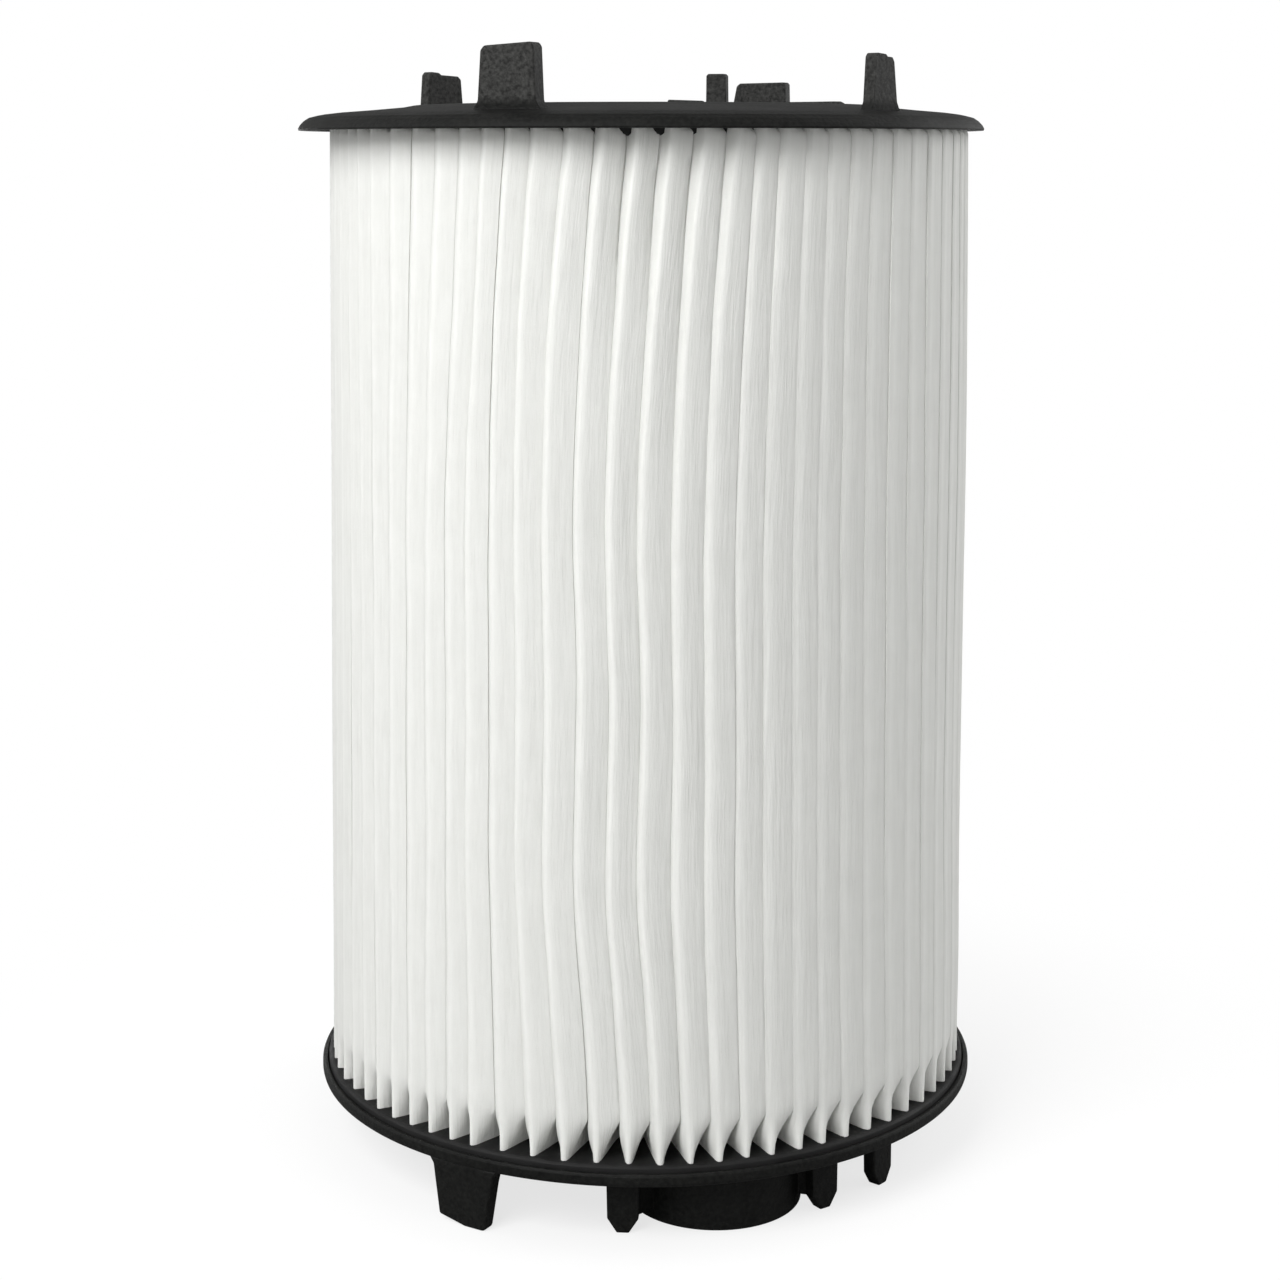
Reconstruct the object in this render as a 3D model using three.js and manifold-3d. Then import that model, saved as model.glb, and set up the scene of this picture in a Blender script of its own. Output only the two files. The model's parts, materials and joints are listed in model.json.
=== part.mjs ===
// Pleated filter cartridge for a pool or spa filter tank.
// Units are millimetres, +Z is up. The origin is on the cartridge axis, in the
// plane of the feet. -Y is the side that the outlet port is nearest to.
// Azimuths run from -Y towards +X, in degrees.
import * as THREE from 'three';
import { mergeVertices } from 'three/addons/utils/BufferGeometryUtils.js';
import Module from 'manifold-3d';

const wasm = await Module();
wasm.setup();

// --------------------------------------------------------- shared dimensions
const GAP = 0.3;                 // clearance between neighbouring pieces
const LARGE_FACETS = 64;         // facets round the large circles
const SMALL_FACETS = 40;         // facets round the port and the top hoop

const FOOT_H = 34;               // feet below the bottom cap's plate
const PLATE_TOP = FOOT_H + 4.3;  // upper face of the bottom cap's plate
const TOP_Z = FOOT_H + 590.6;    // upper face of the top cap's flat
const TOP_SEAT = FOOT_H + 584.7; // underside of the top plate inside the slope

// underside of the top plate: level out to the first radius, then falling
const TOP_SLOPE = { startR: 154.5, endR: 187, drop: 2.5 };

const LOCATOR_R0 = 146.2;        // locating walls inside the core, on both caps
const LOCATOR_R1 = 149.2;

const POTTING_R0 = 154.0;
const BOTTOM_POTTING_TOP = FOOT_H + 10.4;
const TOP_POTTING_BOTTOM = FOOT_H + 571.5;

const SEAL_SEAT = { z0: 7, z1: 15, depth: 3.0 }; // groove in the port's bore
const PORT = { r: 133.0, azimuth: 17.2, outerR: 49.7, boreR: 43.5 };

const rad = (degrees) => (degrees * Math.PI) / 180;
const at = (r, azimuth) => [r * Math.sin(rad(azimuth)), -r * Math.cos(rad(azimuth))];
const [PORT_X, PORT_Y] = at(PORT.r, PORT.azimuth);

// ------------------------------------------------------------------ finishes
const BLACK_PLASTIC = { color: 0x26272a, roughness: 0.62 };
const BLACK_POTTING = { color: 0x1b1b1d, roughness: 0.8 };
const WHITE_PLASTIC = { color: 0xd9dad6, roughness: 0.5 };
const WHITE_MEDIA = { color: 0xeceee9, roughness: 0.9 };
const WHITE_STRIP = { color: 0xeceee9, roughness: 0.6 };
const RUBBER = { color: 0x141414, roughness: 0.75 };

// ------------------------------------------------------------------- helpers
// Manifold needs shared vertices and no collapsed triangles.
function toManifold(geometry) {
  const bare = geometry.clone();
  for (const name of Object.keys(bare.attributes)) {
    if (name !== 'position') bare.deleteAttribute(name);
  }
  const merged = mergeVertices(bare, 1e-4);
  const index = merged.index.array;
  const triangles = [];
  for (let i = 0; i < index.length; i += 3) {
    const [a, b, c] = index.slice(i, i + 3);
    if (a !== b && b !== c && a !== c) triangles.push(a, b, c);
  }
  return new wasm.Manifold(new wasm.Mesh({
    numProp: 3,
    vertProperties: new Float32Array(merged.attributes.position.array),
    triVerts: new Uint32Array(triangles),
  }));
}

function fromManifold(solid) {
  const mesh = solid.getMesh();
  const geometry = new THREE.BufferGeometry();
  const positions = new Float32Array(mesh.vertProperties);
  geometry.setAttribute('position', new THREE.BufferAttribute(positions, 3));
  geometry.setIndex(new THREE.BufferAttribute(new Uint32Array(mesh.triVerts), 1));
  geometry.computeVertexNormals();
  return geometry;
}

const add = (solid, geometry) => solid.add(toManifold(geometry));
const cut = (solid, geometry) => solid.subtract(toManifold(geometry));

// Solid of revolution about Z from [radius, z] points listed anticlockwise
// (outwards along the bottom, up, back along the top).
function revolve(points, facets) {
  const profile = toVectors(points);
  if (points[0][0] > 0) profile.push(profile[0].clone());
  const geometry = new THREE.LatheGeometry(profile, facets);
  geometry.rotateX(Math.PI / 2);
  return geometry;
}

const toVectors = (points) => points.map(([x, y]) => new THREE.Vector2(x, y));

function closedShape(points) {
  const shape = new THREE.Shape(toVectors(points));
  shape.closePath();
  return shape;
}

// Prism from a plan outline, from z0 up to z1.
function prism(shape, z0, z1) {
  const geometry = new THREE.ExtrudeGeometry(shape, { depth: z1 - z0, bevelEnabled: false });
  geometry.translate(0, 0, z0);
  return geometry;
}

function cylinder(r, z0, z1, facets) {
  const points = [];
  for (let i = 0; i < facets; i++) {
    const angle = (2 * Math.PI * i) / facets;
    points.push([r * Math.cos(angle), r * Math.sin(angle)]);
  }
  return prism(closedShape(points), z0, z1);
}

const portCylinder = (r, z0, z1) =>
  cylinder(r, z0, z1, SMALL_FACETS).translate(PORT_X, PORT_Y, 0);

// Tangential tab: an elevation outline ([across, up] pairs) given a radial
// thickness and bevelled edges, carried out to radius r and turned to azimuth.
function tab({ outline, thickness, r, azimuth, z }) {
  const bevel = 1.2;
  const depth = thickness - 2 * bevel;
  const geometry = new THREE.ExtrudeGeometry(closedShape(outline), {
    depth,
    bevelEnabled: true,
    bevelThickness: bevel,
    bevelSize: bevel,
    bevelOffset: -bevel,
    bevelSegments: 1,
  });
  geometry.translate(0, 0, -depth / 2);
  geometry.rotateX(Math.PI / 2);            // outline now stands in the XZ plane
  geometry.translate(0, -r, z);
  geometry.rotateZ(rad(azimuth));
  return geometry;
}

function piece(name, geometry, finish) {
  const mesh = new THREE.Mesh(geometry, new THREE.MeshStandardMaterial(finish));
  mesh.name = name;
  return mesh;
}

// ------------------------------------------------------------ bottom end cap
const FLANGE_R = 200;
const RIM_TOP = FOOT_H + 7.2;
const FOOT_ROOT = FOOT_H + 1;    // feet and pegs run this far up into the plate
const FOOT_AZIMUTH = -31;        // the second foot is opposite
const WEB_PEG_AZIMUTHS = [-4.0, 34.5];              // pegs on both sides of the port
const PEG_AZIMUTHS = [...WEB_PEG_AZIMUTHS, 49.8];   // repeated on the opposite side
const PEG_R = 176;

// [radius, z]
const BOTTOM_CAP_PROFILE = [
  [0, FOOT_H], [198.2, FOOT_H], [199.6, FOOT_H + 0.9], [FLANGE_R, FOOT_H + 2.4],
  [FLANGE_R, RIM_TOP - 1.6], [199.2, RIM_TOP - 0.2], [198.2, RIM_TOP],
  [197.0, RIM_TOP - 0.4], [196.4, RIM_TOP - 1.4], [196.4, PLATE_TOP],
  [LOCATOR_R1, PLATE_TOP], [LOCATOR_R1, FOOT_H + 16],
  [LOCATOR_R0, FOOT_H + 16], [LOCATOR_R0, PLATE_TOP], [0, PLATE_TOP],
];

// [across, up]; part of the wide foot's lower edge slopes up
const WIDE_FOOT = [
  [2, 0], [14.8, 0], [16.8, 1.6], [20.4, 27], [22.6, FOOT_ROOT],
  [-20.4, FOOT_ROOT], [-18.4, 27], [-16.0, 5.0], [-14.6, 3.4],
];
const PEG = [
  [-3.2, 0], [3.2, 0], [8.6, 7.6], [9.2, FOOT_ROOT], [-9.2, FOOT_ROOT], [-8.6, 7.6],
];

// The outlet port: a round tube under the plate, bored through.
function addPort(plate) {
  let cap = add(plate, portCylinder(PORT.outerR, 0, FOOT_H + 1));
  cap = cut(cap, portCylinder(PORT.boreR, -1, FOOT_H - 0.001));
  // through the plate the bore is cut back to stay inside the locating wall
  const through = toManifold(portCylinder(PORT.boreR, FOOT_H - 1, PLATE_TOP + 1));
  const limit = cylinder(LOCATOR_R0 - 1.2, FOOT_H - 2, PLATE_TOP + 2, LARGE_FACETS);
  cap = cap.subtract(through.intersect(toManifold(limit)));
  // seat for the port seal near the mouth
  return cut(cap, portCylinder(PORT.boreR + SEAL_SEAT.depth, SEAL_SEAT.z0, SEAL_SEAT.z1));
}

// Upright web from just behind a peg's centre into the wall of the port tube.
function portWeb(azimuth) {
  const thickness = 4.2;
  const height = 28.6;
  const z0 = 6;
  const behind = 1.5;            // run past the peg's centre
  const intoWall = 1.4;
  const [pegX, pegY] = at(PEG_R, azimuth);
  const dx = PORT_X - pegX;
  const dy = PORT_Y - pegY;
  const distance = Math.hypot(dx, dy);
  const reach = distance - PORT.outerR + intoWall;
  const middle = (reach - behind) / 2 / distance;
  const web = new THREE.BoxGeometry(thickness, reach + behind, height);
  web.translate(0, 0, z0 + height / 2);
  web.rotateZ(Math.atan2(dy, dx) - Math.PI / 2);
  web.translate(pegX + dx * middle, pegY + dy * middle, 0);
  return web;
}

function bottomEndCap() {
  let cap = addPort(toManifold(revolve(BOTTOM_CAP_PROFILE, LARGE_FACETS)));
  for (const turn of [0, 180]) {
    const azimuth = FOOT_AZIMUTH + turn;
    cap = add(cap, tab({ outline: WIDE_FOOT, thickness: 9, r: 194.4, azimuth, z: 0 }));
  }
  for (const turn of [0, 180]) {
    for (const pegAzimuth of PEG_AZIMUTHS) {
      const azimuth = pegAzimuth + turn;
      cap = add(cap, tab({ outline: PEG, thickness: 8, r: PEG_R, azimuth, z: 0 }));
    }
  }
  for (const azimuth of WEB_PEG_AZIMUTHS) cap = add(cap, portWeb(azimuth));
  return piece('bottom_end_cap', fromManifold(cap), BLACK_PLASTIC);
}

// ----------------------------------------------------------------- port seal
function outletPortSeal() {
  const outerR = PORT.boreR + SEAL_SEAT.depth - GAP;
  const innerR = 41.6;
  const shoulderR = 43.0;
  const ring = revolve([
    [innerR, 9.4], [shoulderR, 7.6], [outerR, SEAL_SEAT.z0 + GAP],
    [outerR, SEAL_SEAT.z1 - GAP], [shoulderR, 14.4], [innerR, 12.6],
  ], SMALL_FACETS);
  ring.translate(PORT_X, PORT_Y, 0);
  return piece('outlet_port_seal', ring, RUBBER);
}

// --------------------------------------------------------------- top end cap
const LIP_R = 210;               // outer edge of the down-turned lip
const LIP_Z = FOOT_H + 575.3;    // lower edge of the lip
const LOCATOR_END = TOP_SEAT - 12.7;
const RECESS_FLOOR = TOP_Z - 2.4;
const RIBS = { count: 12, firstAzimuth: 9, size: 3.2, length: 103, middleR: 75.1 };
const HOOP_R = 78;               // inner radius of the hoop that crosses the ribs
const TAB_Z = FOOT_H + 589;      // level that the tabs' heights are measured from
const TAB_FOOT = -4.4;           // tabs start this far from that level, inside the cap
const TAB_R = 182.5;

// [radius, z]: underside, lip, then back along the upper face
const TOP_CAP_PROFILE = [
  [0, TOP_SEAT], [LOCATOR_R0, TOP_SEAT], [LOCATOR_R0, LOCATOR_END],
  [LOCATOR_R1, LOCATOR_END], [LOCATOR_R1, TOP_SEAT],
  [TOP_SLOPE.startR, TOP_SEAT], [TOP_SLOPE.endR, TOP_SEAT - TOP_SLOPE.drop],
  [196.0, TOP_SEAT - 3.3], [198.0, TOP_SEAT - 4.2], [204.4, TOP_SEAT - 6.9],
  [206.4, LIP_Z + 0.6], [208.0, LIP_Z], [LIP_R - 0.4, LIP_Z + 0.2], [LIP_R, LIP_Z + 1.2],
  [208.8, TOP_Z - 12.0], [206.6, TOP_Z - 9.6], [203.6, TOP_Z - 7.6], [199, TOP_Z - 6.4],
  [195, TOP_Z - 5.6], [187, TOP_Z - 4.6], [170, TOP_Z - 3.2], [150, TOP_Z - 1.3],
  [143, TOP_Z], [126, TOP_Z], [124.6, RECESS_FLOOR], [26, RECESS_FLOOR],
  [24.6, TOP_Z], [0, TOP_Z],
];

// Tabs standing on the outer part of the cap; outlines are [across, up].
const TOP_TABS = [
  { // wide
    thickness: 12, r: 180.8, azimuth: -24.1,
    outline: [
      [-18.6, TAB_FOOT], [18.6, TAB_FOOT], [17.6, 2], [16.6, 30.9],
      [14.8, 33.7], [-14.0, 32.0], [-16.2, 29.2], [-17.6, 2],
    ],
  },
  { // slim, with a stepped top
    thickness: 8, r: TAB_R, azimuth: 46.7,
    outline: [
      [-12.0, TAB_FOOT], [12.0, TAB_FOOT], [8.2, 24.4], [6.6, 27.2],
      [2.2, 27.4], [0.6, 28.8], [-7.0, 29.4], [-8.8, 27.4],
    ],
  },
  { // wide, with a stepped top
    thickness: 8, r: TAB_R, azimuth: -131.9,
    outline: [
      [-18.3, TAB_FOOT], [18.3, TAB_FOOT], [16.6, 3], [15.0, 24.4], [12.8, 26.5],
      [6.2, 26.1], [3.8, 24.6], [-11.4, 24.0], [-14.0, 21.8], [-16.0, 3],
    ],
  },
  { // narrow post
    thickness: 9, r: TAB_R, azimuth: 164.2,
    outline: [
      [-7.6, TAB_FOOT], [7.6, TAB_FOOT], [6.9, 25.8],
      [5.6, 27.2], [-5.6, 27.2], [-6.9, 25.8],
    ],
  },
  { // block
    thickness: 9, r: TAB_R, azimuth: 153.8,
    outline: [
      [-19.6, TAB_FOOT], [22.4, TAB_FOOT], [21.2, 4], [18.0, 18.4],
      [15.6, 20.4], [-17.2, 20.8], [-18.4, 19.4], [-18.8, 4],
    ],
  },
  { // low pad
    thickness: 9, r: TAB_R, azimuth: 171.1,
    outline: [
      [-12.8, TAB_FOOT], [12.8, TAB_FOOT], [12.4, 8.8],
      [11.6, 9.6], [-11.6, 8.8], [-12.4, 8.0],
    ],
  },
];

// Low curved rail under the block and the post.
function curvedRail() {
  const start = 133.8;
  const end = 168;
  const steps = 8;
  const halfWidth = 3.1;
  const arc = (r) => Array.from({ length: steps + 1 },
    (_, k) => at(r, start + ((end - start) * k) / steps));
  const outline = [...arc(TAB_R + halfWidth), ...arc(TAB_R - halfWidth).reverse()];
  return prism(closedShape(outline), TAB_Z + TAB_FOOT, TAB_Z + 7.4);
}

function topEndCap() {
  let cap = toManifold(revolve(TOP_CAP_PROFILE, LARGE_FACETS));

  // ribs and a hoop across the shallow recess, flush with the flat
  for (let i = 0; i < RIBS.count; i++) {
    const rib = new THREE.BoxGeometry(RIBS.size, RIBS.length, RIBS.size);
    rib.translate(0, -RIBS.middleR, TOP_Z - RIBS.size / 2);
    rib.rotateZ(rad((360 / RIBS.count) * i + RIBS.firstAzimuth));
    cap = add(cap, rib);
  }
  cap = add(cap, band(HOOP_R, HOOP_R + RIBS.size, TOP_Z - RIBS.size, TOP_Z, SMALL_FACETS));

  for (const entry of TOP_TABS) cap = add(cap, tab({ ...entry, z: TAB_Z }));
  cap = add(cap, curvedRail());
  return piece('top_end_cap', fromManifold(cap), BLACK_PLASTIC);
}

// Ring of rectangular section.
function band(r0, r1, z0, z1, facets) {
  return revolve([[r0, z0], [r1, z0], [r1, z1], [r0, z1]], facets);
}

// ------------------------------------------------------------- potting rings
function bottomPottingRing() {
  const outerR = 196.0;
  const z0 = PLATE_TOP + GAP;
  const z1 = BOTTOM_POTTING_TOP;
  return piece('bottom_potting_ring', revolve([
    [POTTING_R0, z0], [outerR, z0], [outerR, z1 - 1.0], [outerR - 1.6, z1], [POTTING_R0, z1],
  ], LARGE_FACETS), BLACK_POTTING);
}

// The upper face follows the underside of the top cap.
function topPottingRing() {
  const outerR = 191.5;
  const z0 = TOP_POTTING_BOTTOM;
  const z1 = TOP_SEAT - GAP;
  return piece('top_potting_ring', revolve([
    [POTTING_R0, z0], [outerR - 1, z0], [outerR, z0 + 1], [outerR, z1 - 2.9],
    [TOP_SLOPE.endR, z1 - TOP_SLOPE.drop], [TOP_SLOPE.startR, z1], [POTTING_R0, z1],
  ], LARGE_FACETS), BLACK_POTTING);
}

// ------------------------------------------------------------- core sections
// Four moulded cage rings stand on each other; a step at each joint keeps
// them in line.
const CORE = {
  r0: 149.6, r1: 153.4, z0: PLATE_TOP + GAP, z1: TOP_SEAT - GAP,
  windows: 16, barWidth: 12,     // bars between the windows
  belowWindows: 12, aboveWindows: 10,
  hoopHeight: 8,                 // hoop halfway up the windows
  step: 4, stepClearance: 0.2,   // clearance on each side of the step's middle
};
const CORE_MID_R = (CORE.r0 + CORE.r1) / 2;
const CORE_NAMES = [            // from the bottom up
  'core_section_lower', 'core_section_lower_middle',
  'core_section_upper_middle', 'core_section_upper',
];

function coreProfile(z0, z1, isFirst, isLast) {
  const { r0, r1, step, stepClearance } = CORE;
  const skirtR = CORE_MID_R + stepClearance;
  const spigotR = CORE_MID_R - stepClearance;
  const lower = isFirst
    ? [[r0, z0], [r1, z0]]
    : [[r0, z0 + step], [skirtR, z0 + step], [skirtR, z0], [r1, z0]];
  const upper = isLast
    ? [[r1, z1], [r0, z1]]
    : [[r1, z1], [spigotR, z1], [spigotR, z1 + step], [r0, z1 + step]];
  return [...lower, ...upper];
}

function coreSection(name, i) {
  const count = CORE_NAMES.length;
  const height = (CORE.z1 - CORE.z0 - GAP * (count - 1)) / count;
  const z0 = CORE.z0 + i * (height + GAP);
  const z1 = z0 + height;
  let cage = toManifold(revolve(coreProfile(z0, z1, i === 0, i === count - 1), LARGE_FACETS));

  // each cutter runs right across and opens two opposite windows
  const low = z0 + CORE.belowWindows;
  const high = z1 - CORE.aboveWindows;
  const middle = (low + high) / 2;
  const windowWidth = (2 * Math.PI * CORE_MID_R) / CORE.windows - CORE.barWidth;
  for (let k = 0; k < CORE.windows / 2; k++) {
    const cutter = new THREE.BoxGeometry(windowWidth, 400, high - low);
    cutter.translate(0, 0, middle);
    cutter.rotateZ(rad((360 / CORE.windows) * k));
    cage = cut(cage, cutter);
  }
  const half = CORE.hoopHeight / 2;
  cage = add(cage, band(CORE.r0, CORE.r1, middle - half, middle + half, LARGE_FACETS));
  return piece(name, fromManifold(cage), WHITE_PLASTIC);
}

// ------------------------------------------------------------- pleated media
const PLEATS = 72;
const PLEAT_PITCH = (2 * Math.PI) / PLEATS;
const MEDIA_TURN = rad(-88);     // puts a pleat at azimuth 2 degrees
const MEDIA_Z0 = BOTTOM_POTTING_TOP + GAP;
const MEDIA_Z1 = TOP_POTTING_BOTTOM - GAP;

// One folded sheet that runs right round the core, as an outer outline with an
// inner outline cut out of it. Each pleat has three points across its outer
// fold and one at each side of its root.
function pleatedMedia() {
  const thickness = 0.9;
  const tipR = 194.5;            // outer folds
  const rootR = 154.2;           // inner folds
  const foldHalf = 3.2;          // half the width of an outer fold
  const rootInset = 0.35;        // outer outline's inset from the pleat boundary

  const pleat = (angle, root, inset, shoulderR, halfWidth, tip) => {
    const point = (r, across) => [
      r * Math.cos(angle + across / r),
      r * Math.sin(angle + across / r),
    ];
    const rootHalf = (root * PLEAT_PITCH) / 2 - inset;
    return [
      point(root, -rootHalf), point(shoulderR, -halfWidth), point(tip, 0),
      point(shoulderR, halfWidth), point(root, rootHalf),
    ];
  };

  const outer = [];
  const inner = [];
  for (let i = 0; i < PLEATS; i++) {
    const angle = i * PLEAT_PITCH;
    outer.push(...pleat(angle, rootR + thickness, rootInset, tipR - 2.0, foldHalf, tipR));
    inner.push(...pleat(angle, rootR, rootInset + thickness,
      tipR - 2.5, foldHalf - thickness, tipR - thickness - 0.1));
  }
  const shape = new THREE.Shape(toVectors(outer));
  shape.holes.push(new THREE.Path(toVectors(inner.reverse())));
  const sheet = prism(shape, MEDIA_Z0, MEDIA_Z1);
  sheet.rotateZ(MEDIA_TURN);
  return piece('pleated_media', sheet, WHITE_MEDIA);
}

// Tapered strip inside the pleat at the back (+Y), over the media's full height.
function mediaSeamStrip() {
  const outline = [[158, -4.0], [188, -1.9], [188, 1.9], [158, 4.0]]; // [radial, across]
  const strip = prism(closedShape(outline), MEDIA_Z0, MEDIA_Z1);
  strip.rotateZ(MEDIA_TURN + (PLEATS / 2) * PLEAT_PITCH);
  return piece('media_seam_strip', strip, WHITE_STRIP);
}

// ------------------------------------------------------------------ assembly
const cartridge = new THREE.Group();
cartridge.add(
  bottomEndCap(),
  outletPortSeal(),
  topEndCap(),
  bottomPottingRing(),
  topPottingRing(),
  ...CORE_NAMES.map(coreSection),
  pleatedMedia(),
  mediaSeamStrip(),
);

export default cartridge;
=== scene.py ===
import json
import math

import bmesh
import bpy
import numpy as np
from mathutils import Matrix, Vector

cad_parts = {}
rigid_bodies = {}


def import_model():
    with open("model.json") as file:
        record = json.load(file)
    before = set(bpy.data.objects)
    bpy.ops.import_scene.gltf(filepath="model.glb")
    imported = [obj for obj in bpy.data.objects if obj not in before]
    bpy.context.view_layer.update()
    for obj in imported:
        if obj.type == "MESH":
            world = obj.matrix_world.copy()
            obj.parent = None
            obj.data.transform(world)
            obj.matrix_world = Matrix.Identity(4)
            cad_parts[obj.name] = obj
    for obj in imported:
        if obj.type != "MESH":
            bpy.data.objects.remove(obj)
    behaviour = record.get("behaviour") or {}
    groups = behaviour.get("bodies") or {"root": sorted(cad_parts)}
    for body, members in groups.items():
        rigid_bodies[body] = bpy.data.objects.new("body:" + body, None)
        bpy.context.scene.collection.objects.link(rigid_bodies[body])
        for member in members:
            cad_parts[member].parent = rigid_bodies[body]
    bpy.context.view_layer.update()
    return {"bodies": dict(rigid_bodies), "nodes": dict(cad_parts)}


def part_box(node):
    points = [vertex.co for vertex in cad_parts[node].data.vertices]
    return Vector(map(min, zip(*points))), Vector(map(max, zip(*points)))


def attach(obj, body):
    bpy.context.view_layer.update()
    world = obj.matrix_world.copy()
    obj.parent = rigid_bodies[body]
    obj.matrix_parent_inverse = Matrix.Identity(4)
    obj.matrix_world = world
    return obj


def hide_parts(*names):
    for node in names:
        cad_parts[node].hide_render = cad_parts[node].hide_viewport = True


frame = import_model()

BODY = sorted(frame["bodies"])[0] if "root" not in frame["bodies"] else "root"
MM = 0.001

# ------------------------------------------------------------------ key sizes
bot_lo, bot_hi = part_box("bottom_end_cap")
top_lo, top_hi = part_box("top_end_cap")
med_lo, med_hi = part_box("pleated_media")
bpot_lo, bpot_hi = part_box("bottom_potting_ring")
tpot_lo, tpot_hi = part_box("top_potting_ring")
seal_lo, seal_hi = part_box("outlet_port_seal")

R_BOT = bot_hi.x * 1000            # bottom flange radius, mm
R_LIP = top_hi.x * 1000            # top lip radius, mm
R_TIP = med_hi.x * 1000 + 0.1      # pleat tips, mm
Z_FL = bpot_lo.z * 1000 - 4.6      # lower face of the bottom flange, mm
Z_SEAT = tpot_hi.z * 1000 + 0.3    # underside of the top cap's plate, mm
Z_TOP = Z_SEAT + 5.9               # upper face of the top cap, at its raised middle, mm
Z_TAB = Z_SEAT + 4.3               # level that the tabs' heights are measured from, mm
Z_BPOT = bpot_hi.z * 1000          # upper face of the bottom potting, mm
Z_TPOT = tpot_lo.z * 1000          # lower face of the top potting, mm
R_ROOT = 154.6
PLEATS = 72
PORT_C = ((seal_lo.x + seal_hi.x) * 500, (seal_lo.y + seal_hi.y) * 500)

rng = np.random.default_rng(20417)


def rad(d):
    return d * math.pi / 180.0


# ------------------------------------------------------------------- helpers
def link(obj):
    bpy.context.scene.collection.objects.link(obj)
    return obj


def mesh_object(name, verts, faces):
    me = bpy.data.meshes.new(name)
    me.from_pydata([tuple(v) for v in verts], [], [tuple(f) for f in faces])
    me.validate(clean_customdata=False)
    me.update()
    return link(bpy.data.objects.new(name, me))


def smooth(obj, angle=32):
    me = obj.data
    me.polygons.foreach_set("use_smooth", [True] * len(me.polygons))
    me.set_sharp_from_angle(angle=rad(angle))
    me.update()


def fillet(points, radii, steps=4, closed=False):
    """Rounds the corners of an outline. points: (a, b) pairs; radii: one per point, 0 keeps the corner."""
    out = []
    n = len(points)
    for i, (p, r) in enumerate(zip(points, radii)):
        if r <= 0 or (not closed and i in (0, n - 1)):
            out.append(tuple(p))
            continue
        p = np.array(p, float)
        a = np.array(points[(i - 1) % n], float) - p
        b = np.array(points[(i + 1) % n], float) - p
        la, lb = np.linalg.norm(a), np.linalg.norm(b)
        a, b = a / la, b / lb
        cos = float(np.clip(np.dot(a, b), -1, 1))
        ang = math.acos(cos)
        if ang > rad(176):
            out.append(tuple(p))
            continue
        t = min(r / math.tan(ang / 2), la * 0.48, lb * 0.48)
        s, e = p + a * t, p + b * t
        for k in range(steps + 1):
            u = k / steps
            out.append(tuple((1 - u) ** 2 * s + 2 * u * (1 - u) * p + u ** 2 * e))
    return out


def lathe(name, profile, segments=288, closed=False, wave=None):
    """Solid of revolution. profile: (r, z) in mm, anticlockwise, from axis to axis or closed on itself."""
    verts, faces, rings = [], [], []
    for r, z in profile:
        if r < 1e-6:
            rings.append([len(verts)])
            verts.append((0, 0, z * MM))
        else:
            ring = []
            for k in range(segments):
                t = 2 * math.pi * k / segments
                rr, zz = (r, z) if wave is None else wave(r, z, t)
                ring.append(len(verts))
                verts.append((rr * math.cos(t) * MM, rr * math.sin(t) * MM, zz * MM))
            rings.append(ring)
    pairs = list(zip(rings[:-1], rings[1:]))
    if closed:
        pairs.append((rings[-1], rings[0]))
    for a, b in pairs:
        for k in range(segments):
            k2 = (k + 1) % segments
            if len(a) == 1 and len(b) == 1:
                continue
            if len(a) == 1:
                faces.append((a[0], b[k2], b[k]))
            elif len(b) == 1:
                faces.append((a[k], a[k2], b[0]))
            else:
                faces.append((a[k], a[k2], b[k2], b[k]))
    obj = mesh_object(name, verts, faces)
    bm = bmesh.new()
    bm.from_mesh(obj.data)
    bmesh.ops.recalc_face_normals(bm, faces=bm.faces)
    bm.to_mesh(obj.data)
    bm.free()
    return obj


def slab(name, outline, thickness, bevel=1.1, segments=3):
    """Prism from an elevation outline (across, up) in mm, radial thickness along Y, with rounded edges."""
    bm = bmesh.new()
    h = thickness / 2
    front = [bm.verts.new((u * MM, -h * MM, v * MM)) for u, v in outline]
    back = [bm.verts.new((u * MM, h * MM, v * MM)) for u, v in outline]
    bm.faces.new(front)
    bm.faces.new(back[::-1])
    n = len(outline)
    for i in range(n):
        j = (i + 1) % n
        bm.faces.new((front[i], back[i], back[j], front[j]))
    bmesh.ops.recalc_face_normals(bm, faces=bm.faces)
    edges = [e for e in bm.edges if len(e.link_faces) == 2 and e.calc_face_angle(0) > rad(50)]
    bmesh.ops.bevel(bm, geom=edges, offset=bevel * MM, segments=segments, profile=0.5, affect="EDGES", clamp_overlap=True)
    me = bpy.data.meshes.new(name)
    bm.to_mesh(me)
    bm.free()
    return link(bpy.data.objects.new(name, me))


def place(obj, r, az, z):
    """Stands a slab at radius r, azimuth az (from -Y towards +X), height z, and bakes that into the mesh."""
    a = rad(az)
    co = np.empty(len(obj.data.vertices) * 3)
    obj.data.vertices.foreach_get("co", co)
    co = co.reshape(-1, 3)
    co[:, 1] -= r * MM
    co[:, 2] += z * MM
    x = co[:, 0] * math.cos(a) - co[:, 1] * math.sin(a)
    y = co[:, 0] * math.sin(a) + co[:, 1] * math.cos(a)
    co[:, 0], co[:, 1] = x, y
    obj.data.vertices.foreach_set("co", co.ravel())
    obj.data.update()
    return obj


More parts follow.
